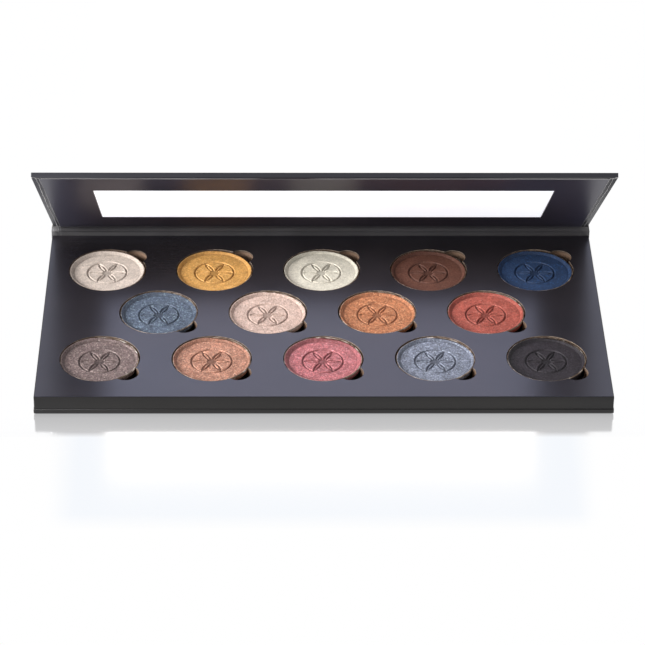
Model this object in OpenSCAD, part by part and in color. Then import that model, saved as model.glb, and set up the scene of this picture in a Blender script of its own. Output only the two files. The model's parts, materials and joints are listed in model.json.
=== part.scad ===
// Magnetic eyeshadow palette. A book-style case of wrapped board holds a mirror in its lid and a tray
// of round wells in its base. Fourteen loose pans of pressed powder stand on a magnetic sheet.
// Origin: centre of the tray on the underside. X runs along the hinge, Y from front to back, Z up.

/* [Case] */
// Width of the case along the hinge
case_w = 191.8; // [186:0.1:220]
// Depth of the tray from the front of the case to the spine
case_d = 100.4; // [97:0.1:125]
// Thickness of the bottom board
bottom_board_t = 1.1; // [0.8:0.05:2]
// Thickness of the spine board
spine_board_t = 1.35; // [1:0.05:2]
// Thickness of the covering paper
paper_t = 0.15; // [0.1:0.01:0.25]
// Width of covering paper turned in over a board's edge
turn_in = 12; // [6:0.5:16]
// Edge of the lid that stands past the front of the case
lid_overhang = 0.1; // [0:0.1:2]
// Step in from the side of the base to the side of the lid
lid_step = 0.9; // [0:0.1:1.2]

/* [Hinge] */
// Height of the fold's axis above the underside
hinge_z = 10.2; // [9:0.1:13]
// Paper left free between the spine board and the lid board
hinge_gap = 3.5; // [3:0.1:5]
// Diameter of the folded paper that fills the hinge
crease_d = 2.4; // [1.6:0.1:2.6]
// Thickness of the two papers that join the fold to the spine board
crease_neck_t = 0.9; // [0.5:0.1:1.2]
// Angle of the lid above the tray as it stands open
open_angle = 41.05; // [5:0.05:150]

/* [Lid] */
// Thickness of the board behind the mirror
lid_board_t = 0.55; // [0.4:0.05:1.5]
// Thickness of the board that frames the mirror
frame_board_t = 0.65; // [0.6:0.05:1.2]
// Border left between the lining and the edge of a board
lining_inset = 2.5; // [1:0.1:5]
// Width of the mirror
mirror_w = 152.8; // [120:0.2:156]
// Height of the mirror
mirror_h = 53.8; // [40:0.2:66]
// Step of the mirror from the middle of the lid towards the hinge
mirror_step = 2.1; // [0:0.1:4]
// Thickness of the mirror's silvering and backing paint
silver_t = 0.05; // [0.03:0.01:0.1]
// Thickness of the adhesive sheet behind the mirror
adhesive_t = 0.1; // [0.05:0.01:0.15]
// Depth of the mirror's face below the lining
mirror_recess = 0.15; // [0.05:0.01:0.2]
// Gap round the mirror in its window
mirror_clearance = 0.15; // [0.05:0.05:0.4]

/* [Tray] */
// Height of the tray's face above the underside
tray_top = 6.5; // [6.1:0.05:7.6]
// Thickness of the tray's wall board
wall_t = 1.5; // [1:0.1:2]
// Step between the case's edge and the tray's wall
tray_inset = 0.2; // [0.1:0.05:0.6]
// Width of wrap glued under the tray
under_turn = 6; // [3:0.5:10]
// Thickness of the card floor
floor_t = 0.2; // [0.15:0.05:0.4]
// Thickness of the magnetic sheet
magnet_sheet_t = 0.5; // [0.3:0.05:0.8]
// Gap round the magnetic sheet inside the tray's walls
sheet_clearance = 0.3; // [0.1:0.1:1]
// Thickness of the face paper
face_t = 0.2; // [0.1:0.05:0.3]
// Edge of the tray left bare round the face paper
face_inset = 0.25; // [0.1:0.05:0.6]

/* [Pans] */
// Outside diameter of a pan
pan_d = 26; // [24:0.1:26.6]
// Board left between the end wells of a long row and the side of the tray
side_margin = 7.25; // [4:0.05:9]
// Board left between the back row and the back of the tray
back_margin = 9.25; // [8.5:0.05:10.5]
// Board left between the front row and the front of the tray
front_margin = 8.95; // [8:0.05:9.8]
// Step of the middle row towards the back from halfway between the other rows
middle_step = 0.75; // [-0.5:0.05:1.5]
// Gap round a pan in its well
pan_clearance = 0.5; // [0.35:0.05:0.6]
// Gap under a pan above the magnetic sheet
pan_lift = 0.05; // [0.02:0.01:0.2]
// Depth of a pan's rim below the tray's face
rim_drop = 0.25; // [0.1:0.05:0.6]
// Thickness of a pan's metal
pan_t = 0.3; // [0.2:0.05:0.5]
// Width of the bead round a pan's rim
rim_bead = 0.28; // [0.05:0.01:0.3]
// Depth of the round dimple under a pan
dimple_depth = 0.12; // [0.05:0.01:0.15]
// Diameter of the round dimple under a pan
dimple_d = 18; // [10:0.5:22]

/* [Finger notches] */
// Diameter of a notch beside a well
notch_d = 8.8; // [6:0.1:10]
// Distance of a notch's centre from the well's centre
notch_reach = 12.3; // [11:0.1:12.8]
// Direction of a notch, turned from the row towards the open side
notch_angle = 43; // [35:1:50]

/* [Powder] */
// Depth of a cake's edge below the pan's rim
cake_drop = 0.15; // [0.1:0.05:0.6]
// Width of the sloping ring round a cake
slope_w = 1.25; // [0.6:0.05:2]
// Depth of a cake's face below its edge
dish_depth = 0.75; // [0.1:0.05:1]
// Radius of the pressed rosette, and of the arcs that draw its petals
rosette_r = 6.8; // [5:0.1:9]
// Width of the pressed lines
line_w = 0.6; // [0.3:0.05:0.65]
// Depth of the pressed lines
line_depth = 0.35; // [0.1:0.05:0.4]
// Reach of the rosette's middle button past the inner points of the petals
button_reach = 0.2; // [0.1:0.05:0.5]

/* [Closure] */
// Diameter of a closing magnet
closure_d = 5; // [4:0.1:6]
// Thickness of a closing magnet in the tray
tray_magnet_t = 1.5; // [0.5:0.1:1.6]
// Thickness of a closing magnet in the lid
lid_magnet_t = 0.6; // [0.3:0.05:0.6]
// Gap round a closing magnet in its pocket
closure_clearance = 0.1; // [0.05:0.05:0.3]

/* [Hidden] */
$fn = 64;
CUT = 1; // how far a cutting shape runs past what it cuts

PAN_COUNT = 14;
function two_digits(n) = str(n < 10 ? "0" : "", n);
PAN_NAMES = [for (i = [1:PAN_COUNT]) str("pan_", two_digits(i))];
CAKE_NAMES = [for (i = [1:PAN_COUNT]) str("cake_", two_digits(i))];

// Heights in the base, from the underside up
bottom_board_z = paper_t;
cover_top = bottom_board_z + bottom_board_t + paper_t;
wall_z = cover_top + paper_t;
sheet_z = wall_z + floor_t;
wells_z = sheet_z + magnet_sheet_t;
wells_top = tray_top - face_t;
wells_mid = (wells_z + wells_top) / 2;
pan_z = wells_z + pan_lift;
rim_z = tray_top - rim_drop;

// Depths in the base, from front to back
tray_front = -case_d / 2 + tray_inset;
tray_back = case_d / 2;
tray_w = case_w - 2 * tray_inset;
wall_out = paper_t;
wall_in = paper_t + wall_t;
spine_t = spine_board_t + 2 * paper_t;
spine_back = tray_back + spine_t;
spine_top = hinge_z - hinge_gap / 2;
hinge_y = tray_back + spine_t / 2;

// The lid, in its own frame: the fold is at y = 0 and the front edge at y = -lid_l
lid_t = lid_board_t + frame_board_t + 3 * paper_t;
lid_w = case_w - 2 * lid_step;
lid_start = hinge_gap / 2;
lid_l = hinge_y + case_d / 2 + lid_overhang;
lid_in = -lid_t / 2;
lid_out = lid_t / 2;
turned_z = lid_in + paper_t;
frame_z = turned_z + paper_t;
board_z = frame_z + frame_board_t;
mirror_y = -(lid_start + lid_l) / 2 + mirror_step;
mirror_z = lid_in + mirror_recess;
silver_z = board_z - adhesive_t - silver_t;

// The pans and what follows from them
well_d = pan_d + 2 * pan_clearance;
pan_pitch = (tray_w - 2 * side_margin - well_d) / 4;
row_of_five = [for (i = [-2:2]) i * pan_pitch];
row_of_four = [for (i = [-1.5:1.5]) i * pan_pitch];
back_row_y = tray_back - back_margin - well_d / 2;
front_row_y = tray_front + front_margin + well_d / 2;
middle_row_y = (back_row_y + front_row_y) / 2 + middle_step;
// Each place holds x, y and the side to which the finger notch opens
PLACES = concat(
    [for (x = row_of_five) [x, back_row_y, 1]],
    [for (x = row_of_four) [x, middle_row_y, -1]],
    [for (x = row_of_five) [x, front_row_y, -1]]);
PAN_COLOURS = [
    "#d9c19c", "#b8863b", "#e6dcc6", "#3d2721", "#2c4a86",
    "#37606e", "#d9a9a8", "#b5552f", "#8f2f28",
    "#8a7164", "#9c5548", "#b5426a", "#5f7184", "#2a2426"];
// Side of its well to which each pan has settled, and the gap left there
SETTLED = [
    [-1, 0], [-0.5, 0], [-0.7, 0.3], [0, -0.3], [-0.7, 0],
    [0.6, 0.3], [-0.4, -0.2], [1, 0], [-0.5, -0.3],
    [-1, 0], [0, 0.3], [-1, 0], [1, 0], [-0.5, -0.4]];
settled_gap = 0.08;
pan_play = pan_clearance - rim_bead - settled_gap;
PAN_PLACES = [for (i = [0:len(PLACES) - 1])
    [PLACES[i].x + pan_play * SETTLED[i].x, PLACES[i].y + pan_play * SETTLED[i].y, 0]];
closure_x = 1.5 * pan_pitch;
closure_y = (tray_front + wall_in + front_row_y - well_d / 2) / 2;

// A block given by its lowest and highest corners
module block(low, high) {
    translate(low) cube(high - low);
}

// A plate centred on x that runs between two depths and two heights
module plate(width, y0, y1, z0, z1) {
    block([-width / 2, y0, z0], [width / 2, y1, z1]);
}

// Puts its children on the open lid
module on_lid() {
    translate([0, hinge_y, hinge_z]) rotate([-open_angle, 0, 0]) children();
}

// Repeats its children at both closing magnets
module at_closures() {
    for (side = [-1, 1]) translate([side * closure_x, 0, 0]) children();
}

// ---- case ----

module bottom_board() {
    color("#8a7a63")
        plate(case_w - 2 * paper_t, -case_d / 2 + paper_t, tray_back, bottom_board_z,
              bottom_board_z + bottom_board_t);
}

// One sheet: under the bottom board, over its edges, and up the back of the spine
module base_wrap() {
    inner_w = case_w - 2 * paper_t;
    color("#2b2a2c") {
        difference() {
            plate(case_w, -case_d / 2, tray_back, 0, cover_top);
            plate(inner_w, -case_d / 2 + paper_t, tray_back + CUT, paper_t, cover_top - paper_t);
            plate(case_w - 2 * turn_in, -case_d / 2 + turn_in, tray_back + CUT,
                  cover_top - paper_t - CUT, cover_top + CUT);
        }
        difference() {
            plate(case_w, tray_back, spine_back, 0, spine_top);
            plate(inner_w, tray_back + paper_t, spine_back - paper_t, paper_t, spine_top + CUT);
            plate(case_w - 2 * lining_inset, tray_back - CUT, tray_back + 2 * paper_t,
                  paper_t, spine_top + CUT);
        }
    }
}

module spine_board() {
    color("#8a7a63")
        plate(case_w - 2 * paper_t, tray_back + paper_t, spine_back - paper_t, paper_t, spine_top);
}

module spine_lining() {
    color("#343436")
        plate(case_w - 2 * lining_inset, tray_back, tray_back + paper_t, cover_top, spine_top);
}

// The two papers of the fold, drawn together as one roll on a neck
module hinge_crease() {
    color("#2b2a2c") {
        translate([-case_w / 2, hinge_y, hinge_z]) rotate([0, 90, 0]) cylinder(d = crease_d, h = case_w);
        plate(case_w, hinge_y - crease_neck_t / 2, hinge_y + crease_neck_t / 2, spine_top, hinge_z);
    }
}

// ---- tray ----

module long_wall(y0) {
    color("#8a7a63")
        plate(tray_w - 2 * wall_out, y0, y0 + wall_t, wall_z, wells_top - paper_t);
}

module side_wall(side) {
    color("#8a7a63")
        translate([side * (tray_w / 2 - wall_out - wall_t / 2), 0, 0])
            plate(wall_t, tray_front + wall_in, tray_back - wall_in, wall_z, wells_top - paper_t);
}

module tray_front_wall() { long_wall(tray_front + wall_out); }
module tray_back_wall() { long_wall(tray_back - wall_in); }
module tray_left_wall() { side_wall(-1); }
module tray_right_wall() { side_wall(1); }

// The paper round the tray's walls, turned under them and over their tops
module tray_wrap() {
    color("#3a393b") difference() {
        plate(tray_w, tray_front, tray_back, cover_top, wells_top);
        plate(tray_w - 2 * wall_out, tray_front + wall_out, tray_back - wall_out,
              cover_top + paper_t, wells_top - paper_t);
        plate(tray_w - 2 * wall_in, tray_front + wall_in, tray_back - wall_in,
              wall_z, wells_top + CUT);
        plate(tray_w - 2 * under_turn, tray_front + under_turn, tray_back - under_turn,
              cover_top - CUT, wall_z + CUT);
    }
}

module tray_floor() {
    color("#6d6252")
        plate(tray_w - 2 * wall_in, tray_front + wall_in, tray_back - wall_in, wall_z, sheet_z);
}

module magnetic_sheet() {
    inset = wall_in + sheet_clearance;
    color("#262427")
        plate(tray_w - 2 * inset, tray_front + inset, tray_back - inset, sheet_z, wells_z);
}

// The outline of every well with its finger notch
module wells_2d() {
    for (p = PLACES) translate([p.x, p.y]) {
        circle(d = well_d);
        rotate(p[2] * notch_angle) translate([notch_reach, 0]) circle(d = notch_d);
    }
}

module well_layer(inset, z0, z1) {
    translate([0, 0, z0]) linear_extrude(z1 - z0) difference() {
        translate([-tray_w / 2 + inset, tray_front + inset])
            square([tray_w - 2 * inset, tray_back - tray_front - 2 * inset]);
        wells_2d();
    }
}

module well_board_lower() {
    color("#9a8364") well_layer(wall_in, wells_z, wells_mid);
}

module well_board_upper() {
    color("#9a8364") difference() {
        well_layer(wall_in, wells_mid, wells_top);
        at_closures() translate([0, closure_y, wells_top - tray_magnet_t])
            cylinder(d = closure_d + 2 * closure_clearance, h = tray_magnet_t + CUT);
    }
}

module face_paper() {
    color("#4a4b57") well_layer(face_inset, wells_top, tray_top);
}

module tray_magnets() {
    color("#b9bbbd") at_closures() translate([0, closure_y, wells_top - tray_magnet_t])
        cylinder(d = closure_d, h = tray_magnet_t);
}

// ---- lid ----

// A sheet that covers the lid's outside, its three free edges and a band of its inside
module lid_wrap() {
    color("#2b2a2c") on_lid() difference() {
        plate(lid_w, -lid_l, -lid_start, turned_z, lid_out);
        plate(lid_w - 2 * paper_t, -lid_l + paper_t, -lid_start + CUT, frame_z, lid_out - paper_t);
        plate(lid_w - 2 * turn_in, -lid_l + turn_in, -lid_start + CUT, turned_z - CUT, frame_z + CUT);
    }
}

module lid_board() {
    color("#8a7a63") on_lid()
        plate(lid_w - 2 * paper_t, -lid_l + paper_t, -lid_start, board_z, lid_out - paper_t);
}

// A hole through the lid's layers, given by its size and centred on the mirror
module mirror_window(z0, z1) {
    plate(mirror_w + 2 * mirror_clearance, mirror_y - mirror_h / 2 - mirror_clearance,
          mirror_y + mirror_h / 2 + mirror_clearance, z0, z1);
}

module mirror_frame_board() {
    color("#8a7a63") on_lid() difference() {
        plate(lid_w - 2 * paper_t, -lid_l + paper_t, -lid_start, frame_z, board_z);
        mirror_window(frame_z - CUT, board_z + CUT);
        at_closures() translate([0, -hinge_y + closure_y, board_z - lid_magnet_t])
            cylinder(d = closure_d + 2 * closure_clearance, h = lid_magnet_t + CUT);
    }
}

// The lining lies on the turned-in band and, inside the band, on the board itself
module lid_lining() {
    color("#3b3537") on_lid() difference() {
        union() {
            plate(lid_w - 2 * lining_inset, -lid_l + lining_inset, -lid_start, lid_in, turned_z);
            plate(lid_w - 2 * turn_in, -lid_l + turn_in, -lid_start, lid_in, frame_z);
        }
        mirror_window(lid_in - CUT, frame_z + CUT);
    }
}

// One layer of the mirror
module mirror_layer(z0, z1) {
    plate(mirror_w, mirror_y - mirror_h / 2, mirror_y + mirror_h / 2, z0, z1);
}

module mirror_glass() { color("#e9edf0") on_lid() mirror_layer(mirror_z, silver_z); }
module mirror_silvering() { color("#c9ccce") on_lid() mirror_layer(silver_z, silver_z + silver_t); }
module mirror_adhesive() { color("#d8cfae") on_lid() mirror_layer(silver_z + silver_t, board_z); }

module lid_magnets() {
    color("#b9bbbd") on_lid() at_closures()
        translate([0, -hinge_y + closure_y, board_z - lid_magnet_t])
            cylinder(d = closure_d, h = lid_magnet_t);
}

// ---- pans and powder ----

// A pressed tin cup with a bead round its rim and a dimple under its floor
module pan(i) {
    r = pan_d / 2;
    bead_h = max(2 * pan_t, 2 * rim_bead + 0.1);
    color("#c9b58a") translate(PAN_PLACES[i]) rotate_extrude() polygon([
        [0, pan_z + dimple_depth],
        [dimple_d / 2, pan_z + dimple_depth],
        [dimple_d / 2 + dimple_depth, pan_z],
        [r, pan_z],
        [r, rim_z - bead_h],
        [r + rim_bead, rim_z - bead_h + rim_bead],
        [r + rim_bead, rim_z - rim_bead],
        [r, rim_z],
        [r - pan_t, rim_z],
        [r - pan_t, pan_z + pan_t],
        [0, pan_z + pan_t]]);
}

// A petal: where two circles cross that pass through its ends, each drawn in by an inset
module petal_2d(inset) {
    half_chord = rosette_r / 2;
    centre_y = sqrt(rosette_r * rosette_r - half_chord * half_chord);
    intersection_for(side = [-1, 1]) translate([half_chord, side * centre_y]) circle(r = rosette_r - inset);
}

// The pressed lines: a circle, and six petals that run out to it from a round button
module rosette_2d() {
    half_petal = sqrt(max(0, pow(rosette_r - line_w, 2) - 0.75 * rosette_r * rosette_r));
    circle(r = rosette_r / 2 - half_petal + button_reach);
    difference() {
        circle(r = rosette_r + line_w / 2);
        circle(r = rosette_r - line_w / 2);
    }
    for (k = [0:5]) rotate(k * 60) difference() {
        petal_2d(0);
        petal_2d(line_w);
    }
}

// Pressed powder: a face set down inside a sloping ring, with a rosette of pressed lines
module cake(i) {
    r = pan_d / 2 - pan_t;
    edge_z = rim_z - cake_drop;
    face_r = r - slope_w;
    face_z = edge_z - dish_depth;
    color(PAN_COLOURS[i]) translate(PAN_PLACES[i]) difference() {
        rotate_extrude()
            polygon([[0, pan_z + pan_t], [r, pan_z + pan_t], [r, edge_z], [face_r, face_z], [0, face_z]]);
        translate([0, 0, face_z - line_depth]) linear_extrude(line_depth + CUT) rosette_2d();
    }
}

bottom_board();
base_wrap();
spine_board();
spine_lining();
hinge_crease();
tray_front_wall();
tray_back_wall();
tray_left_wall();
tray_right_wall();
tray_wrap();
tray_floor();
magnetic_sheet();
well_board_lower();
well_board_upper();
face_paper();
tray_magnets();
lid_wrap();
lid_board();
mirror_frame_board();
lid_lining();
mirror_adhesive();
mirror_silvering();
mirror_glass();
lid_magnets();
for (i = [0:PAN_COUNT - 1]) pan(i);
for (i = [0:PAN_COUNT - 1]) cake(i);
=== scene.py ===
"""Looks of a magnetic eyeshadow palette: a wrapped board case, a tray of wells and fourteen pans of
pressed powder."""
import json
import math

import bpy
import numpy as np
from mathutils import Matrix, Vector


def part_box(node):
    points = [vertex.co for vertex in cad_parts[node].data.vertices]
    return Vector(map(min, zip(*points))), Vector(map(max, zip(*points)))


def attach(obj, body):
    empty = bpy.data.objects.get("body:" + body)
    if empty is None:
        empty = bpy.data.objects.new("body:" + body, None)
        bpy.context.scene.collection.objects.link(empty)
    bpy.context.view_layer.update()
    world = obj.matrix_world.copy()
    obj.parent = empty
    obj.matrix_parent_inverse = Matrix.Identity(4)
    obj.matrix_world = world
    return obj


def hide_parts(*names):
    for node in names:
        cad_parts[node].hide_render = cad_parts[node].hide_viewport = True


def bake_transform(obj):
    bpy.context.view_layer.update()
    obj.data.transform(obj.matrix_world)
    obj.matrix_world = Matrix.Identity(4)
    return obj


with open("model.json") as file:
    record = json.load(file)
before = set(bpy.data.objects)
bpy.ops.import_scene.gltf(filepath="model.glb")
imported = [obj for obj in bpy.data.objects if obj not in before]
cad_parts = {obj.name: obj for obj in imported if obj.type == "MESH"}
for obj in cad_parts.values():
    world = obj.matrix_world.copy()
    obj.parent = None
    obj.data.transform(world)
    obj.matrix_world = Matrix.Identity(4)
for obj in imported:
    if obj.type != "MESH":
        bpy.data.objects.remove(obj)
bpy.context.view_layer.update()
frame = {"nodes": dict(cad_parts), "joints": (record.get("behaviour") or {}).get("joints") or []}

MM = 0.001
PANS = 14

# ---------------------------------------------------------------- places read from the frame

LID_JOINT = next(j for j in frame["joints"] if j["name"] == "lid_hinge")
HINGE = Vector(LID_JOINT["pos_m"])
OPEN_ANGLE = math.radians(180 - LID_JOINT["range_deg"][1])
LID_ALONG = Vector((0, -math.cos(OPEN_ANGLE), math.sin(OPEN_ANGLE)))
LID_OUTWARD = Vector((0, math.sin(OPEN_ANGLE), math.cos(OPEN_ANGLE)))
# In metres
SPINE_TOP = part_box("spine_board")[1].z
SPINE_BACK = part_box("base_wrap")[1].y
CASE_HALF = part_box("base_wrap")[1].x
LID_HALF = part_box("lid_wrap")[1].x
LINING_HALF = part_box("lid_lining")[1].x
FREE_PAPER = HINGE.z - SPINE_TOP  # paper between the spine board and the fold's axis
HALF_BOARD = SPINE_BACK - HINGE.y
# In millimetres
CASE_SIDE = CASE_HALF / MM
CASE_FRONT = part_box("base_wrap")[0].y / MM
LINING_SIDE = LINING_HALF / MM
TRAY_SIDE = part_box("face_paper")[1].x / MM
TRAY_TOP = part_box("face_paper")[1].z / MM
FOLD_Y, FOLD_Z = HINGE.y / MM, HINGE.z / MM
PAN_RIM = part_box("pan_01")[1].z / MM


def extent(node, direction):
    """Nearest and furthest reach of a lid piece from the fold, measured along a direction."""
    piece = frame["nodes"][node]
    reach = [(piece.matrix_world @ v.co - HINGE).dot(direction) for v in piece.data.vertices]
    return min(reach), max(reach)


def on_lid(x, reach, height):
    return HINGE + Vector((x, 0, 0)) + LID_ALONG * reach + LID_OUTWARD * height


# ---------------------------------------------------------------- camera

PHOTO_SIDE = 645  # pixels
SENSOR = 36.0
FOCAL_PIXELS = 3052.8
CLIP_END = 10
CAMERA_PLACE = Vector((-0.014552, -0.873452, 0.584132))
CAMERA_PITCH, CAMERA_YAW, CAMERA_ROLL = (math.radians(a) for a in (33.651, 0.957, 0.528))


def add_object(name, data):
    thing = bpy.data.objects.new(name, data)
    bpy.context.scene.collection.objects.link(thing)
    return thing


def make_camera():
    forward = Vector((math.sin(CAMERA_YAW) * math.cos(CAMERA_PITCH),
                      math.cos(CAMERA_YAW) * math.cos(CAMERA_PITCH),
                      -math.sin(CAMERA_PITCH)))
    right = Vector((math.cos(CAMERA_YAW), -math.sin(CAMERA_YAW), 0))
    up = right.cross(forward)
    turn = Matrix.Rotation(-CAMERA_ROLL, 3, forward)
    right, up = turn @ right, turn @ up
    camera = add_object("camera", bpy.data.cameras.new("camera"))
    camera.data.sensor_width = SENSOR
    camera.data.lens = FOCAL_PIXELS / PHOTO_SIDE * SENSOR
    camera.data.clip_end = CLIP_END
    basis = Matrix((right, up, -forward)).transposed().to_4x4()
    camera.matrix_world = Matrix.Translation(CAMERA_PLACE) @ basis
    bpy.context.scene.camera = camera


# ---------------------------------------------------------------- material helpers

class Material:
    """A node material with short ways to add and join nodes."""

    def __init__(self, name):
        self.material = bpy.data.materials.new(name)
        self.material.use_nodes = True
        self.nodes = self.material.node_tree.nodes
        self.nodes.clear()
        self.output = self.node("ShaderNodeOutputMaterial")
        self.shader = None

    def node(self, kind, **settings):
        n = self.nodes.new(kind)
        for key, value in settings.items():
            setattr(n, key, value)
        return n

    def link(self, a, b):
        self.material.node_tree.links.new(a, b)

    def principled(self, **sockets):
        self.shader = self.node("ShaderNodeBsdfPrincipled")
        for name, value in sockets.items():
            self.shader.inputs[name.replace("_", " ")].default_value = value
        self.link(self.shader.outputs[0], self.output.inputs["Surface"])
        return self.shader

    def place(self, scale=(1, 1, 1)):
        """Object coordinates in millimetres, stretched by scale."""
        coords = self.node("ShaderNodeTexCoord")
        mapping = self.node("ShaderNodeMapping")
        mapping.inputs["Scale"].default_value = [s / MM for s in scale]
        self.link(coords.outputs["Object"], mapping.inputs["Vector"])
        return mapping.outputs["Vector"]

    def split(self, vector):
        n = self.node("ShaderNodeSeparateXYZ")
        self.link(vector, n.inputs[0])
        return n.outputs

    def spot(self):
        """X, Y and Z of a point of the surface, in millimetres."""
        return self.split(self.place())

    def facing(self):
        """X, Y and Z of the way that the surface faces."""
        return self.split(self.node("ShaderNodeTexCoord").outputs["Normal"])

    def noise(self, vector, scale, detail=3, rough=0.5):
        n = self.node("ShaderNodeTexNoise")
        n.inputs["Scale"].default_value = scale
        n.inputs["Detail"].default_value = detail
        n.inputs["Roughness"].default_value = rough
        self.link(vector, n.inputs["Vector"])
        return n.outputs["Fac"]

    def ramp(self, fac, stops):
        """stops are (position, colour)."""
        r = self.node("ShaderNodeValToRGB")
        elements = r.color_ramp.elements
        while len(elements) < len(stops):
            elements.new(0.5)
        for element, (position, colour) in zip(elements, stops):
            element.position = position
            element.color = (*colour, 1)
        self.link(fac, r.inputs["Fac"])
        return r.outputs["Color"]

    def spread(self, fac, low, high, out_low, out_high):
        """Maps low to out_low and high to out_high, and stays level beyond them."""
        n = self.node("ShaderNodeMapRange")
        for key, value in zip(("From Min", "From Max", "To Min", "To Max"),
                              (low, high, out_low, out_high)):
            n.inputs[key].default_value = value
        self.link(fac, n.inputs["Value"])
        return n.outputs["Result"]

    def math(self, kind, a, b=0.0):
        n = self.node("ShaderNodeMath", operation=kind)
        for socket, value in zip(n.inputs, (a, b)):
            if isinstance(value, (int, float)):
                socket.default_value = value
            else:
                self.link(value, socket)
        return n.outputs[0]

    def times(self, first, *others):
        for other in others:
            first = self.math("MULTIPLY", first, other)
        return first

    def mix(self, fac, a, b):
        """Colour a where fac is 0, and b where it is 1."""
        n = self.node("ShaderNodeMix", data_type="RGBA")
        for socket, value in zip((n.inputs[0], n.inputs[6], n.inputs[7]), (fac, a, b)):
            if isinstance(value, tuple):
                socket.default_value = (*value, 1)
            else:
                self.link(value, socket)
        return n.outputs[2]

    def bump(self, height, distance_mm):
        n = self.node("ShaderNodeBump")
        n.inputs["Distance"].default_value = distance_mm * MM
        self.link(height, n.inputs["Height"])
        self.link(n.outputs["Normal"], self.shader.inputs["Normal"])

    def inward(self, side):
        """Distance in from the sides at plus and minus side, in millimetres."""
        return self.math("SUBTRACT", side, self.math("ABSOLUTE", self.spot()["X"]))

    def recolour(self, mask, colour):
        """Lays a colour over the shader's own where the mask is 1."""
        source = self.shader.inputs["Base Color"].links[0].from_socket
        self.link(self.mix(mask, source, colour), self.shader.inputs["Base Color"])


def dress(material, *nodes):
    """Gives CAD nodes, or pieces, one material."""
    for n in nodes:
        data = (frame["nodes"][n] if isinstance(n, str) else n).data
        data.materials.clear()
        data.materials.append(material)


def scaled(colour, k):
    return tuple(min(1.0, c * k) for c in colour)


# ---------------------------------------------------------------- studio

WORLD_SEEN, WORLD_FILL = 1.04, 0.21
# Place, width and height in metres, and power in watts. All three point at the object.
LIGHTS = {
    "key": ((-1.05, -0.66, 0.74), 0.26, 0.26, 18.5),
    "side_key": ((-1.35, -0.30, 0.45), 0.30, 0.20, 27),
    "front_fill": ((0.5, -1.2, 0.60), 0.9, 0.5, 1.4),
}
FLOOR_HALF = 3.0
FLOOR_HEIGHT = -0.7  # millimetres
# Bands of the floor, from and to, in millimetres back from the case's front edge
MIRROR_BAND = (-12.6, -9.7)  # the far end of the image of the case's front
# Painted reflection: a slightly grey band of the floor's glow where the case's image in the floor
# ends
GREY_BAND = (-13.0, -9.9)
NEAR_BAND = (-9.7, 0)
VEIL_BAND = (-62, -54)  # the far end of the faint image of what stands higher
# Painted shadow: a dark line of the floor's glow and shine under the case's front
SHADOW_LINE_FRONT, SHADOW_LINE_BACK = (0.5, 1.1), (2, 4)  # the dark line under the case's front
VEIL_SIDES = (80, 91)  # from the middle, in millimetres
MIRROR_STRENGTH, NEAR_STRENGTH, SHADOW_LINE_STRENGTH = 0.40, 0.10, 0.9
VEIL_ROUGHNESS, GLOSS_ROUGHNESS = 0.18, 0.12
BLACK, WHITE = (0.0, 0.0, 0.0), (1.0, 1.0, 1.0)
# The floor's glow: faintly blue under the veil, a painted grey band where the case's image ends,
# and painted shadow under the case's front
VEILED_TONE, GREY_TONE, SHADOW_LINE_TONE = (0.905, 0.935, 0.98), (0.96, 0.96, 0.97), (0.02, 0.02, 0.02)
VEIL_TINT, SHADOW_LINE_GLOSS = (0.10, 0.072, 0.030), (0.1, 0.1, 0.1)


def make_lights():
    for name, (place, width, height, power) in LIGHTS.items():
        light = bpy.data.lights.new(name, "AREA")
        light.shape = "RECTANGLE"
        light.size, light.size_y = width, height
        light.energy = power
        holder = add_object(name, light)
        holder.location = place
        holder.rotation_euler = (-Vector(place)).to_track_quat("-Z", "Y").to_euler()


def make_world():
    """White all round to the eye and in reflections, and softer as a fill, so that the key light
    shapes the relief."""
    world = bpy.data.worlds.new("studio")
    bpy.context.scene.world = world
    world.use_nodes = True
    tree = world.node_tree
    back = tree.nodes["Background"]
    back.inputs["Color"].default_value = (*WHITE, 1)
    path = tree.nodes.new("ShaderNodeLightPath")
    level = tree.nodes.new("ShaderNodeMapRange")
    level.inputs["To Min"].default_value = WORLD_SEEN
    level.inputs["To Max"].default_value = WORLD_FILL
    tree.links.new(path.outputs["Is Diffuse Ray"], level.inputs["Value"])
    tree.links.new(level.outputs["Result"], back.inputs["Strength"])


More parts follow.
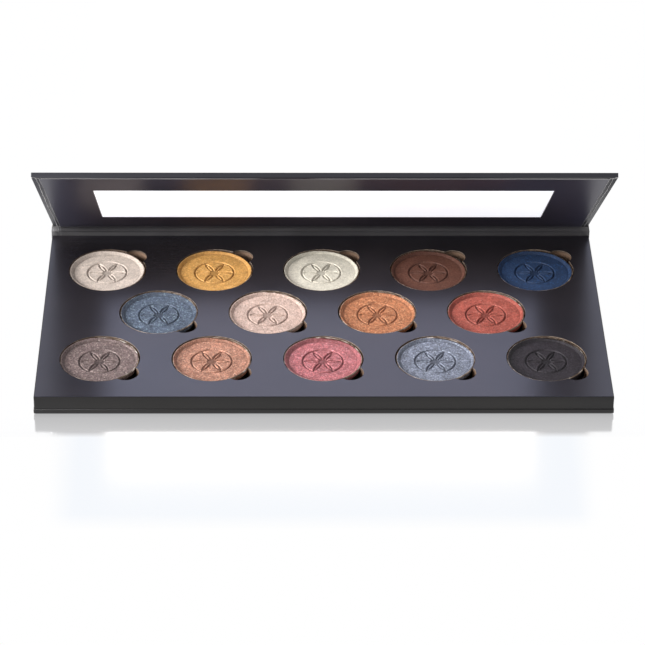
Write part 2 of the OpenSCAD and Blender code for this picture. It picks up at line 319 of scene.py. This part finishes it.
def make_floor():
    """A shining white floor. In front of the case it mirrors the case's front strongly, and what
    stands higher only as a faint blue veil. A painted shadow darkens a thin line under the case's
    front, and a painted grey band marks where the case's image ends."""
    m = Material("floor_white")
    place = m.spot()
    aside = m.math("ABSOLUTE", place["X"])

    def back(band, out_start, out_stop):
        return m.spread(place["Y"], CASE_FRONT + band[0], CASE_FRONT + band[1], out_start, out_stop)

    far = back(MIRROR_BAND, 0.0, MIRROR_STRENGTH)
    near = back(NEAR_BAND, 0.0, NEAR_STRENGTH)
    veiled = m.times(back(VEIL_BAND, 0, 1), m.spread(aside, *VEIL_SIDES, 1, 0))
    under = m.spread(aside, CASE_SIDE - 0.8, CASE_SIDE, 1, 0)
    # painted shadow: darker glow and less shine in a thin line under the case's front
    foot = m.times(under, back(SHADOW_LINE_FRONT, 0, SHADOW_LINE_STRENGTH), back(SHADOW_LINE_BACK, 1, 0))
    tone = m.mix(veiled, WHITE, VEILED_TONE)
    # painted reflection: the glow turns a little grey where the case's image ends
    tone = m.mix(back(GREY_BAND, 0, 1), tone, GREY_TONE)
    glow = m.node("ShaderNodeEmission")
    m.link(m.mix(foot, tone, SHADOW_LINE_TONE), glow.inputs["Color"])
    veil = m.node("ShaderNodeBsdfAnisotropic")
    m.link(m.mix(foot, m.mix(veiled, BLACK, VEIL_TINT), BLACK), veil.inputs["Color"])
    veil.inputs["Roughness"].default_value = VEIL_ROUGHNESS
    base = m.node("ShaderNodeAddShader")
    m.link(glow.outputs[0], base.inputs[0])
    m.link(veil.outputs[0], base.inputs[1])
    gloss = m.node("ShaderNodeBsdfAnisotropic")
    m.link(m.mix(foot, WHITE, SHADOW_LINE_GLOSS), gloss.inputs["Color"])
    gloss.inputs["Roughness"].default_value = GLOSS_ROUGHNESS
    both = m.node("ShaderNodeMixShader")
    m.link(m.math("ADD", far, near), both.inputs[0])
    m.link(base.outputs[0], both.inputs[1])
    m.link(gloss.outputs[0], both.inputs[2])
    m.link(both.outputs[0], m.output.inputs["Surface"])
    mesh = bpy.data.meshes.new("floor")
    corners = [(x * FLOOR_HALF, y * FLOOR_HALF, 0) for x, y in ((-1, -1), (1, -1), (1, 1), (-1, 1))]
    mesh.from_pydata(corners, [], [(0, 1, 2, 3)])
    mesh.materials.append(m.material)
    sheet = add_object("floor", mesh)
    sheet.location.z = FLOOR_HEIGHT * MM


# ---------------------------------------------------------------- papers

def black_film(name, colour, roughness, ior=1.40, streak=0.0, tint=(1, 1, 1), graze=0.0):
    """Black paper under a satin film: faint mottle, fine grain, and streaks along X where asked.

    graze is how much of its shine the film loses where it is seen edge on.
    """
    m = Material(name)
    p = m.principled(IOR=ior, Specular_Tint=(*tint, 1))
    if graze:
        matt = m.node("ShaderNodeBsdfDiffuse")
        matt.inputs["Color"].default_value = (*colour, 1)
        weight = m.node("ShaderNodeLayerWeight")
        both = m.node("ShaderNodeMixShader")
        m.link(m.times(weight.outputs["Facing"], graze), both.inputs[0])
        m.link(p.outputs[0], both.inputs[1])
        m.link(matt.outputs[0], both.inputs[2])
        m.link(both.outputs[0], m.output.inputs["Surface"])
    v = m.place()
    mottle = m.noise(v, 0.06, 4)
    m.link(m.ramp(mottle, [(0.3, scaled(colour, 0.85)), (0.7, scaled(colour, 1.2))]),
           p.inputs["Base Color"])
    streaks = m.noise(m.place((0.02, 1.6, 1.6)), 1.0, 3, 0.6)
    grain = m.noise(v, 5.0, 2)
    soft = m.spread(grain, 0, 1, roughness - 0.03, roughness + 0.03)
    m.link(m.math("ADD", m.spread(streaks, 0.3, 0.7, -streak, streak), soft), p.inputs["Roughness"])
    m.bump(m.math("ADD", grain, m.times(streaks, 60 * streak)), 0.004)
    return m


def add_corner_wear(m):
    """Paper rubbed through to its core in specks along the corners of the case."""
    close = m.spread(m.inward(CASE_SIDE), 0.05, 0.40, 1, 0)
    off_end = m.spread(m.math("ABSOLUTE", m.facing()["X"]), 0.90, 0.97, 1, 0)
    wear_and_shade = m.spread(m.noise(m.place((1, 1, 0.5)), 1.9, 3), 0.52, 0.60, 0, 0.8)
    m.recolour(m.times(close, off_end, wear_and_shade), (0.26, 0.23, 0.18))


def add_turned_end_sheen(m):
    """Painted sheen: lightens the case's paper where it is turned in at the spine's ends and faces
    the tray.
    """
    facing = m.math("LESS_THAN", m.facing()["Y"], -0.7)
    behind = m.math("GREATER_THAN", m.spot()["Y"], FOLD_Y - 3.0)
    m.recolour(m.times(facing, behind), (0.075, 0.073, 0.075))


def add_cut_core(m):
    """Shows the paper's core on the cut edges of the wells, but not on the sheet's outer edge."""
    upright = m.math("LESS_THAN", m.math("ABSOLUTE", m.facing()["Z"]), 0.3)
    place = m.spot()
    inside = m.times(m.math("LESS_THAN", m.math("ABSOLUTE", place["X"]), TRAY_SIDE - 0.5),
                     m.math("GREATER_THAN", place["Y"], CASE_FRONT + 1.0))
    chips = m.spread(m.noise(m.place(), 0.8, 4), 0.40, 0.60, 0.25, 1.0)
    m.recolour(m.times(upright, inside, chips), (0.36, 0.29, 0.22))


def add_painted_shade_back_left(m):
    """Painted shade: darker film on the tray's back left part, which the lights alone leave too
    pale. The film is smoother there too.
    """
    place = m.spot()
    mask = m.times(m.spread(place["Y"], 8.0, 38.0, 0, 1), m.spread(place["X"], -70.0, -15.0, 1, 0),
                   m.spread(m.inward(CASE_SIDE), 3.0, 14.0, 0.3, 1))
    m.recolour(m.times(mask, 0.75), (0.006, 0.005, 0.0055))
    rough = m.shader.inputs["Roughness"].links[0].from_socket
    m.link(m.math("SUBTRACT", rough, m.times(mask, 0.06)), m.shader.inputs["Roughness"])


def add_painted_lining_ends(m):
    """Painted sheen: the lining's black leans to blue towards its two ends, and painted light makes
    it paler along the left one.
    """
    m.recolour(m.spread(m.inward(LINING_SIDE), 0.0, 16.0, 1, 0), (0.037, 0.036, 0.064))
    edge = m.spread(m.spot()["X"], 2.0 - LINING_SIDE, 11.0 - LINING_SIDE, 0.55, 0)
    m.recolour(edge, (0.085, 0.086, 0.118))


def add_painted_shade_left_end(m):
    """Painted shade on the paper near the hinge's left end, which the lights alone leave too pale.
    """
    m.recolour(m.spread(m.spot()["X"], -84.0, -52.0, 0.55, 0), (0.008, 0.008, 0.008))


def add_fold_edge_highlights(m):
    """Painted highlights: lighter lines along the edges of the papers turned over each end of the
    spine.
    """
    inward = m.inward(CASE_SIDE)
    for place, strength in ((0.6, 0.9), (2.5, 1.0), (3.3, 0.7)):
        off = m.math("ABSOLUTE", m.math("SUBTRACT", inward, place))
        m.recolour(m.spread(off, 0.08, 0.22, strength, 0), (0.115, 0.114, 0.118))


def add_fold_shade(m):
    """Darkens the inner paper of the hinge where it goes up into the fold."""
    m.recolour(m.spread(m.spot()["Z"], FOLD_Z - 1.2, FOLD_Z + 1.6, 0, 0.5), (0.010, 0.010, 0.011))


# ---------------------------------------------------------------- boards, metal and mirror

def board(name, colour):
    """Raw board: fibres and specks."""
    m = Material(name)
    p = m.principled(Roughness=0.85)
    fibres = m.noise(m.place((1, 1, 3.5)), 1.6, 5, 0.7)
    specks = m.noise(m.place(), 4.0, 2)
    base = m.ramp(fibres, [(0.3, scaled(colour, 0.72)), (0.5, colour),
                           (0.72, scaled(colour, 1.25))])
    m.link(m.mix(m.spread(specks, 0.50, 0.66, 0, 0.5), base, scaled(colour, 0.40)),
           p.inputs["Base Color"])
    m.bump(m.math("ADD", fibres, specks), 0.06)
    return m


def add_painted_shade_under_face(m):
    """Painted shade: darkens the board just under the tray's face, at the top of each cut."""
    m.recolour(m.spread(m.spot()["Z"], TRAY_TOP - 0.9, TRAY_TOP - 0.45, 0, 0.55),
               (0.03, 0.022, 0.018))


def matt_rubber():
    m = Material("magnetic_rubber")
    p = m.principled(Roughness=0.6)
    speck = m.noise(m.place(), 2.5, 4)
    m.link(m.ramp(speck, [(0.35, (0.045, 0.036, 0.033)), (0.7, (0.085, 0.070, 0.064))]),
           p.inputs["Base Color"])
    m.bump(speck, 0.03)
    return m.material


def nickel():
    m = Material("nickel_plate")
    p = m.principled(Base_Color=(0.70, 0.69, 0.66, 1), Metallic=1.0)
    m.link(m.spread(m.noise(m.place(), 3.0, 3), 0.3, 0.7, 0.18, 0.34), p.inputs["Roughness"])
    return m.material


def tin():
    """Tinplate: bare and bright at the rim and dark down the sides, with painted shade where it
    faces the front.
    """
    m = Material("pan_tinplate")
    p = m.principled(Metallic=1.0)
    v = m.place()
    patches = m.noise(v, 0.45, 3)
    bare = m.ramp(patches, [(0.36, (0.12, 0.08, 0.06)), (0.50, (0.42, 0.33, 0.25)),
                            (0.62, (0.86, 0.79, 0.70))])
    at_rim = m.spread(m.split(v)["Z"], PAN_RIM - 0.9, PAN_RIM - 0.45, 0, 1)
    # painted shade: the metal is darker where it faces the front
    painted_front_shade = m.spread(m.facing()["Y"], -0.45, -0.10, 0.85, 0.0)
    wear_and_shade = m.mix(painted_front_shade, bare, (0.09, 0.065, 0.050))
    m.link(m.mix(at_rim, (0.035, 0.028, 0.022), wear_and_shade), p.inputs["Base Color"])
    m.link(m.spread(m.noise(v, 4.0, 3), 0.3, 0.7, 0.22, 0.42), p.inputs["Roughness"])
    m.bump(m.noise(v, 2.2, 3), 0.02)
    return m.material


def glowing_mirror():
    """The mirror as painted light: a bluish white panel that glows, under a glossy coat."""
    m = Material("mirror_glowing_white")
    p = m.principled(Roughness=0.25, Coat_Weight=0.6, Coat_Roughness=0.05, Emission_Strength=1.12)
    v = m.place()
    cloud = m.noise(v, 0.05, 3)
    for socket, dim, clear in (("Base Color", (0.82, 0.85, 0.95), (0.87, 0.90, 0.98)),
                               ("Emission Color", (0.95, 0.955, 1.0), (0.97, 0.975, 1.0))):
        m.link(m.ramp(cloud, [(0.3, dim), (0.7, clear)]), p.inputs[socket])
    m.bump(m.noise(v, 0.4, 2), 0.003)
    return m.material


# ---------------------------------------------------------------- powder

def powder(name, colour, shimmer, fleck):
    """Pressed powder. shimmer is how pearly it is, fleck the colour of its brightest specks."""
    def pearly(matt, pearl):
        return matt + (pearl - matt) * shimmer

    m = Material(name)
    p = m.principled(Specular_IOR_Level=pearly(0.25, 0.50))
    v = m.place()
    mottle = m.noise(v, 0.7, 5, 0.7)
    base = m.ramp(mottle, [(0.3, scaled(colour, pearly(0.88, 0.66))), (0.5, colour),
                           (0.7, scaled(colour, pearly(1.10, 1.40)))])
    cells = m.node("ShaderNodeTexVoronoi")
    cells.inputs["Scale"].default_value = 2.4
    m.link(v, cells.inputs["Vector"])
    pick = m.node("ShaderNodeSeparateColor")
    m.link(cells.outputs["Color"], pick.inputs[0])
    first, second, third = pick.outputs
    bright = m.spread(first, pearly(0.84, 0.74), 1.0, 0.0, pearly(0.08, 0.50))
    dark = m.spread(second, 0.45, 1.0, 0.0, pearly(0.15, 0.90))
    patches = m.spread(m.noise(v, 0.25, 3), 0.35, 0.65, pearly(0.94, 0.82), pearly(1.04, 1.18))
    clouds = m.spread(m.noise(v, 2.2, 3, 0.6), 0.32, 0.68, pearly(0.90, 0.58), pearly(1.06, 1.44))
    scale = m.node("ShaderNodeVectorMath", operation="SCALE")
    m.link(base, scale.inputs[0])
    m.link(m.times(clouds, patches), scale.inputs["Scale"])
    tone = m.mix(bright, scale.outputs[0], fleck)
    tone = m.mix(dark, tone, scaled(colour, 0.36))
    # painted shade: the 'pressed' mask darkens the powder in its pressed lines, at and up its
    # slope, and most on the slope's shaded side
    pressed = m.node("ShaderNodeAttribute", attribute_name="pressed")
    painted_groove_shade = m.times(pressed.outputs["Fac"], pearly(0.34, 0.78))
    m.link(m.mix(painted_groove_shade, tone, tuple(c ** 1.15 * 0.34 for c in colour)), p.inputs["Base Color"])
    m.link(m.spread(third, 0, 1, pearly(0, 0.05), pearly(0, 0.55)), p.inputs["Metallic"])
    m.link(m.spread(second, 0, 1, pearly(0.66, 0.46), pearly(0.85, 0.55)), p.inputs["Roughness"])
    lumps = m.times(m.noise(v, 1.0, 4, 0.62), pearly(1.8, 4.0))
    grains = m.math("ADD", m.noise(v, 6.0, 3), m.times(first, pearly(0.3, 1.1)))
    m.bump(m.math("ADD", grains, lumps), pearly(0.034, 0.094))
    return m.material


# Of each powder, from pan 1 to pan 14: its colour, how pearly it is, its brightest specks, the
# width of the slope round the cake in millimetres, and how much darker the slope's shaded side is
POWDERS = [
    ((0.552, 0.466, 0.403), 0.25, (0.95, 0.88, 0.80), 1.20, 0.1),
    ((0.532, 0.277, 0.077), 0.35, (1.00, 0.72, 0.35), 0.90, 0.2),
    ((0.550, 0.512, 0.425), 0.15, (0.95, 0.92, 0.84), 0.85, 0.1),
    ((0.097, 0.037, 0.024), 0.20, (0.34, 0.18, 0.12), 1.00, 0.2),
    ((0.018, 0.039, 0.094), 0.30, (0.06, 0.22, 0.60), 0.95, 0.2),
    ((0.092, 0.118, 0.170), 0.85, (0.45, 0.62, 0.70), 1.25, 0.6),
    ((0.528, 0.383, 0.322), 0.45, (1.00, 0.86, 0.78), 0.85, 0.1),
    ((0.455, 0.176, 0.080), 0.75, (1.00, 0.58, 0.32), 1.00, 0.2),
    ((0.358, 0.080, 0.056), 0.50, (0.80, 0.36, 0.28), 1.00, 0.4),
    ((0.201, 0.143, 0.137), 0.85, (0.70, 0.60, 0.54), 0.80, 0.1),
    ((0.474, 0.226, 0.151), 0.85, (1.00, 0.68, 0.52), 0.85, 0.2),
    ((0.480, 0.154, 0.166), 0.75, (1.00, 0.56, 0.62), 1.25, 0.8),
    ((0.211, 0.232, 0.298), 0.85, (0.70, 0.78, 0.92), 0.85, 0.1),
    ((0.020, 0.015, 0.0205), 0.60, (0.08, 0.072, 0.09), 0.80, 0.2),
]
# In millimetres
ROSETTE_R = 6.8
LINE_W = 0.6
LINE_DEPTH = 0.45
PETAL_TIP = ROSETTE_R / 2 - math.sqrt((ROSETTE_R - LINE_W) ** 2 - 0.75 * ROSETTE_R ** 2)
BUTTON_R = PETAL_TIP + 0.2
DISH = 0.75
RIM_RISE = PAN_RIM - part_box("cake_01")[1].z / MM
RIM_W = 0.27
RIM_COVER, BARE_DROP = 0.03, 0.45  # powder above the rim, and how far it sinks where that is bare
LAP, LAP_FRONT, LAP_BARE, LAP_LEAST, LAP_MOST = 0.48, 0.10, 0.62, 0.03, 0.59
LAP_SHARES = (0.4, 0.65, 1.0)  # rings of points on the lap
LAP_DROOP = 0.024
RAGGED_SIZE = 0.05
SHOULDER_PLACE, SHOULDER_W, SHOULDER_H = 0.56, 0.14, 0.06  # powder raised beside a pressed line
FOOT_W = 0.17  # shaded line at the foot of the slope
ROSETTE_REACH, ROSETTE_STEP = 7.35, 0.13  # rings of points over the pressed lines
GRAIN = 0.004

SEGMENTS = 240
RAGGED_WAVES = (3, 5, 9, 14, 23, 41)
BARE_SIDE, SHADED_SIDE = math.radians(58), math.radians(125)
BACK_ROWS = 9  # cakes up to this one have fuller rims


def smooth(x, low, high):
    t = np.clip((x - low) / (high - low), 0, 1)
    return t * t * (3 - 2 * t)


def rosette_lines(x, y):
    """Distance from the nearest pressed line, in millimetres: a circle and six petals inside it."""
    radius = np.hypot(x, y)
    nearest = np.abs(radius - ROSETTE_R)
    turns = np.radians(60) * np.arange(6)
    away = [np.hypot(x - ROSETTE_R * math.cos(a), y - ROSETTE_R * math.sin(a)) - ROSETTE_R
            for a in turns]
    for k in range(6):
        petal = np.maximum(away[k], away[(k + 2) % 6])
        nearest = np.minimum(nearest, np.abs(petal + LINE_W / 2))
    return np.minimum(nearest, np.maximum(radius - BUTTON_R + LINE_W / 2, 0))


def cake_profile(r, radius, slope, lip, bare):
    """Height of the powder's top above its edge, in millimetres. It laps over the rim except where
    that is bare."""
    rise = np.clip((r - radius + slope) / slope, 0, 1)
    soft = 0.8 * rise + 0.2 * rise * rise * (3 - 2 * rise)
    top = RIM_RISE + RIM_COVER - BARE_DROP * bare
    edge = LAP_DROOP * smooth(r, radius, lip) + np.maximum(r - radius - RIM_W, 0)
    return -DISH + (DISH + top) * soft - edge


def cake_rings(radius, slope):
    """Radii of the rings of points on a cake's top, closer together at the foot of its slope."""
    foot = radius - slope
    return np.concatenate([np.arange(0.14, ROSETTE_REACH, ROSETTE_STEP),
                           np.linspace(ROSETTE_REACH + 0.15, foot - FOOT_W, 12),
                           np.linspace(foot - 0.06, foot + 0.06, 4),
                           np.linspace(foot + 0.2, radius, 10)])


def cake_top(number, radius, slope, lean):
    """Points of a cake's top, ring by ring, how much painted shade each one gets, and the angles
    round it.
    """
    rng = np.random.default_rng(100 + number)
    angles = np.arange(SEGMENTS) * 2 * math.pi / SEGMENTS
    rings = np.concatenate([cake_rings(radius, slope), [0] * len(LAP_SHARES)])
    r, a = np.meshgrid(rings, angles, indexing="ij")
    ragged = sum(np.sin(a * f + rng.uniform(0, 6.3)) * RAGGED_SIZE / math.sqrt(f)
                 for f in RAGGED_WAVES)
    bare = smooth(np.cos(angles - BARE_SIDE), 0.70, 0.98) * rng.uniform(0.7, 1.0)
    bare = bare * (0.45 if number <= BACK_ROWS else 1.0)
    front = smooth(-np.sin(angles), -0.2, 0.5)
    lap = LAP + LAP_FRONT * front - LAP_BARE * bare + 0.9 * ragged[0]
    lip = radius + np.clip(lap, LAP_LEAST, LAP_MOST)
    for row, share in enumerate(LAP_SHARES, -len(LAP_SHARES)):
        r[row] = (1 - share) * radius + share * lip
    x, y = r * np.cos(a), r * np.sin(a)
    near = rosette_lines(x, y) + ragged * 0.12
    groove = 1 - smooth(near, LINE_W * 0.24, LINE_W * 0.68)
    shoulder = SHOULDER_H * np.exp(-((near - SHOULDER_PLACE) / SHOULDER_W) ** 2)
    z = cake_profile(r, radius, slope, lip, bare) - LINE_DEPTH * groove + shoulder
    flat = 1 - smooth(r, radius - 0.3, radius)
    z = z + 0.3 * ragged * smooth(r, radius - 1.4, radius - 0.8) * flat
    z = z + rng.normal(0, GRAIN, z.shape) * flat
    wall = smooth(r, radius - slope - 0.05, radius - slope + 0.1)
    foot = np.exp(-((r - radius + slope) / FOOT_W) ** 2)
    shaded = 0.5 + 0.5 * np.cos(a - SHADED_SIDE)
    # painted shade: darker in the pressed lines, up the slope, at its foot, and most on the slope's
    # shaded side
    pressed = np.clip(groove + 0.35 * wall + 0.75 * foot + lean * wall * shaded ** 2, 0, 1)
    return np.stack([x, y, z], -1), pressed, angles


def cake_faces(count):
    """Faces of a cake: its top, its side, and the middles of both ends with the last two points."""
    after = [(s + 1) % SEGMENTS for s in range(SEGMENTS)]
    faces = [(ring * SEGMENTS + s, (ring + 1) * SEGMENTS + s, (ring + 1) * SEGMENTS + n,
              ring * SEGMENTS + n)
             for ring in range(count) for s, n in enumerate(after)]
    last = count * SEGMENTS
    top, foot = last + SEGMENTS, last + SEGMENTS + 1
    for s, n in enumerate(after):
        faces.append((top, s, n))
        faces.append((foot, last + n, last + s))
    return faces


def new_piece(name, verts, faces):
    mesh = bpy.data.meshes.new(name)
    mesh.from_pydata([tuple(v) for v in verts], [], faces)
    mesh.polygons.foreach_set("use_smooth", [True] * len(mesh.polygons))
    mesh.update()
    return add_object(name, mesh)


def make_cake(number):
    node, name = f"cake_{number:02d}", f"powder_{number:02d}"
    low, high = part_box(node)
    centre = (low + high) / 2
    radius = (high.x - low.x) / 2 / MM
    bottom, edge = low.z / MM, high.z / MM
    colour, shimmer, fleck, slope, lean = POWDERS[number - 1]
    top, pressed, angles = cake_top(number, radius, slope, lean)
    side = np.stack([radius * np.cos(angles), radius * np.sin(angles),
                     np.full(SEGMENTS, bottom)], -1)
    verts = np.concatenate([(top + [0, 0, edge]).reshape(-1, 3), side,
                            [[0, 0, edge - DISH - LINE_DEPTH]], [[0, 0, bottom]]])
    verts = verts * MM + np.array([centre.x, centre.y, 0])
    cake = new_piece(name, verts, cake_faces(len(top)))
    # the 'pressed' mask holds painted shade for the powder
    mask = cake.data.attributes.new("pressed", "FLOAT", "POINT")
    mask.data.foreach_set("value",
                          np.concatenate([pressed.reshape(-1), np.zeros(SEGMENTS), [1, 0]]))
    cake.data.update()
    dress(powder(name, colour, shimmer, fleck), cake)
    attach(cake, f"pan_{number:02d}")
    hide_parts(node)


# ---------------------------------------------------------------- paper of the hinge

CREASE_STEPS = 28
CREASE_COLUMNS = 60
CREASE_PAPER = 0.15 * MM
CREASE_OVERLAP = 0.5 * MM
CREASE_WAVE = 0.02 * MM
PINCH_OUT, PINCH_IN = 0.34, 0.40  # how far each paper is drawn in towards the fold's axis


def crease_path(side):
    """Points of one paper's path from the spine to the lid, as seen from the case's end."""
    board_end = Vector((0, side * HALF_BOARD, -FREE_PAPER))
    lid_end = LID_ALONG * FREE_PAPER + LID_OUTWARD * HALF_BOARD * side
    start = math.atan2(board_end.z, board_end.y)
    stop = math.atan2(lid_end.z, lid_end.y)
    if side > 0 and stop < start:
        stop += 2 * math.pi
    if side < 0 and stop > start:
        stop -= 2 * math.pi
    points = [board_end - Vector((0, 0, CREASE_OVERLAP))]
    for k in range(CREASE_STEPS + 1):
        t = k / CREASE_STEPS
        angle = start + (stop - start) * t
        pinch = (PINCH_OUT if side > 0 else PINCH_IN) * math.sin(math.pi * t) ** 0.8
        r = board_end.length * (1 - pinch)
        points.append(Vector((0, math.cos(angle) * r, math.sin(angle) * r)))
    return points + [lid_end + LID_ALONG * CREASE_OVERLAP]


def make_crease(name, side, material):
    """One paper of the hinge. side is 1 on the outside and -1 on the inside."""
    points = crease_path(side)
    verts = []
    for k, p in enumerate(points):
        along = k / (len(points) - 1)
        half = CASE_HALF + (LID_HALF - CASE_HALF) * along
        for x in np.linspace(-1, 1, CREASE_COLUMNS) * half:
            wave = CREASE_WAVE * math.sin(x * 310 + k) * math.sin(math.pi * along)
            verts.append((x, HINGE.y + p.y, HINGE.z + p.z + wave))
    n = CREASE_COLUMNS
    faces = [(k * n + c, k * n + c + 1, (k + 1) * n + c + 1, (k + 1) * n + c)
             for k in range(len(points) - 1) for c in range(n - 1)]
    piece = new_piece(name, verts, faces)
    solid = piece.modifiers.new("thickness", "SOLIDIFY")
    solid.thickness = CREASE_PAPER
    solid.offset = 0
    bpy.context.view_layer.update()
    graph = bpy.context.evaluated_depsgraph_get()
    baked = bpy.data.meshes.new_from_object(piece.evaluated_get(graph))
    piece.modifiers.clear()
    piece.data = baked
    baked.polygons.foreach_set("use_smooth", [True] * len(baked.polygons))
    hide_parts("hinge_crease")
    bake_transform(piece)
    dress(material, piece)


# ---------------------------------------------------------------- paper edges inside the lid

RIDGE_SHAPE = [(-0.5, 0.0), (-0.32, 0.75), (0.0, 1.0), (0.32, 0.75), (0.5, 0.0)]
WANDER_WAVES = (1.3, 3.1, 7.3, 15.7)
BORDER_STEPS, FOLD_STEPS, MITRE_STEPS = 420, 90, 10
# In millimetres
BORDER_W, BORDER_H = 0.20, 0.20
FOLD_LINE_OUT, FOLD_LINE_W, FOLD_LINE_H = 1.15, 0.22, 0.09
MITRE_W, MITRE_H = 0.35, 0.16
SIDE_NAMES = {-1: "left", 1: "right"}


def ridge(name, points, material):
    """A low ridge. points are its places, the ways across it, and its widths and heights, in
    millimetres."""
    verts = [p + across * (a * width * MM) - LID_OUTWARD * (b * height * MM)
             for p, across, width, height in points for a, b in RIDGE_SHAPE]
    n = len(RIDGE_SHAPE)
    last = (len(points) - 1) * n
    faces = []
    for k in range(len(points) - 1):
        for c in range(n):
            d = (c + 1) % n
            faces.append((k * n + c, k * n + d, (k + 1) * n + d, (k + 1) * n + c))
    faces.append(tuple(range(n)))
    faces.append(tuple(range(last + n - 1, last - 1, -1)))
    piece = new_piece(name, verts, faces)
    dress(material, piece)
    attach(piece, "lid")


def wander(t, seed, size):
    """A small uneven wave along a path, for paper edges that aren't quite straight."""
    return size * sum(math.sin(t * f * 2 * math.pi + seed * (k + 1.7)) / (k + 1.2)
                      for k, f in enumerate(WANDER_WAVES))


def lid_border_point(t, half, reach, low):
    """A point of the lining's border: up its left side, along its free edge and down its right."""
    side = reach - low
    d = t * (2 * side + 2 * half)
    if d < side:
        return -half, low + d, Vector((-1, 0, 0))
    if d < side + 2 * half:
        return -half + (d - side), reach, LID_ALONG
    return half, reach - (d - side - 2 * half), Vector((1, 0, 0))


def make_lid_edges():
    # The ridges are the paper's real edges; their pale grey is painted highlight, where the black
    # edges catch the light
    paper = black_film("turned_edge_highlight", (0.42, 0.41, 0.41), 0.38, ior=1.5).material
    low, reach = extent("lid_lining", LID_ALONG)
    lid_reach = extent("lid_wrap", LID_ALONG)[1]
    band = extent("lid_wrap", LID_OUTWARD)[0]
    points = []
    for k in range(BORDER_STEPS + 1):
        t = k / BORDER_STEPS
        x, s, out = lid_border_point(t, LINING_HALF, reach, low + 0.3 * MM)
        points.append((on_lid(x, s, band) + out * wander(t, 0.6, 0.09) * MM, out,
                       BORDER_W + wander(t, 2.1, 0.05), BORDER_H + wander(t, 4.4, 0.02)))
    ridge("lid_lining_edge", points, paper)
    for side, side_name in SIDE_NAMES.items():
        aside = Vector((side, 0, 0))
        points = []
        for k in range(FOLD_STEPS + 1):
            t = k / FOLD_STEPS
            x = side * (LINING_HALF + (FOLD_LINE_OUT + wander(t, side + 3.3, 0.12)) * MM)
            s = low + 1 * MM + (lid_reach - 3.5 * MM - low) * t
            width = FOLD_LINE_W + wander(t, 5.1, 0.05)
            points.append((on_lid(x, s, band), aside, width, FOLD_LINE_H))
        ridge(f"lid_fold_line_{side_name}", points, paper)
        points = []
        for k in range(MITRE_STEPS + 1):
            t = k / MITRE_STEPS
            x = side * (LINING_HALF + (LID_HALF - LINING_HALF - 0.15 * MM) * t)
            s = reach + (lid_reach - reach - 0.2 * MM) * t
            across = aside * 0.7 - LID_ALONG * 0.7
            points.append((on_lid(x, s, band), across, MITRE_W, MITRE_H))
        ridge(f"lid_mitre_{side_name}", points, paper)


# ---------------------------------------------------------------- soft edges on the wrapped boards

WELD_DISTANCE = 1e-6
SOFT_EDGE = 0.12 * MM
SOFT_ANGLE = math.radians(40)


def soften(*nodes):
    """Rounds the edges of CAD nodes a little, as paper does where it is wrapped round a board."""
    for n in nodes:
        piece = frame["nodes"][n]
        weld = piece.modifiers.new("weld", "WELD")
        weld.merge_threshold = WELD_DISTANCE
        bevel = piece.modifiers.new("bevel", "BEVEL")
        bevel.width = SOFT_EDGE
        bevel.segments = 3
        bevel.limit_method = "ANGLE"
        bevel.angle_limit = SOFT_ANGLE
        piece.data.polygons.foreach_set("use_smooth", [True] * len(piece.data.polygons))


# ---------------------------------------------------------------- the scene

bpy.context.scene.view_settings.view_transform = "Standard"
make_camera()
make_world()
make_lights()
make_floor()

case = black_film("case_film", (0.0045, 0.0040, 0.0042), 0.36)
add_corner_wear(case)
add_turned_end_sheen(case)
lid = black_film("lid_film", (0.0085, 0.0080, 0.0115), 0.36, ior=1.46, tint=(0.92, 0.94, 1.0),
                 graze=0.40)
add_corner_wear(lid)
tray = black_film("tray_film", (0.0045, 0.0040, 0.0042), 0.38)
face = black_film("face_film", (0.0185, 0.0155, 0.0165), 0.31, ior=1.77, streak=0.012,
                  tint=(0.60, 0.66, 1.0))
add_cut_core(face)
add_painted_shade_back_left(face)
lining = black_film("lining_film", (0.037, 0.0315, 0.043), 0.33, graze=0.42)
add_painted_lining_ends(lining)
spine = black_film("hinge_film", (0.094, 0.090, 0.093), 0.5, graze=0.3)
fold = black_film("fold_film", (0.112, 0.107, 0.110), 0.5, graze=0.3)
for film in (spine, fold):
    add_painted_shade_left_end(film)
    add_fold_edge_highlights(film)
add_fold_shade(fold)
dress(case.material, "base_wrap", "hinge_crease")
dress(lid.material, "lid_wrap")
dress(tray.material, "tray_wrap")
dress(face.material, "face_paper")
dress(lining.material, "lid_lining")
dress(spine.material, "spine_lining")
dress(board("greyboard", (0.30, 0.25, 0.19)).material, "bottom_board", "spine_board", "lid_board",
      "mirror_frame_board", "tray_front_wall", "tray_back_wall", "tray_left_wall",
      "tray_right_wall")
kraft = board("kraft_board", (0.165, 0.100, 0.063))
add_painted_shade_under_face(kraft)
dress(kraft.material, "well_board_lower", "well_board_upper")
dress(board("floor_card", (0.32, 0.27, 0.20)).material, "tray_floor")
dress(matt_rubber(), "magnetic_sheet")
dress(nickel(), "tray_magnets", "lid_magnets")
# The mirror glass glows white: painted light
dress(glowing_mirror(), "mirror_glass")
dress(nickel(), "mirror_silvering")
dress(board("adhesive_sheet", (0.55, 0.50, 0.38)).material, "mirror_adhesive")
pan_tin = tin()
for number in range(1, PANS + 1):
    dress(pan_tin, f"pan_{number:02d}")
    make_cake(number)

make_crease("hinge_outer_paper", 1, case.material)
make_crease("hinge_inner_paper", -1, fold.material)
make_lid_edges()
soften("base_wrap", "lid_wrap", "tray_wrap")
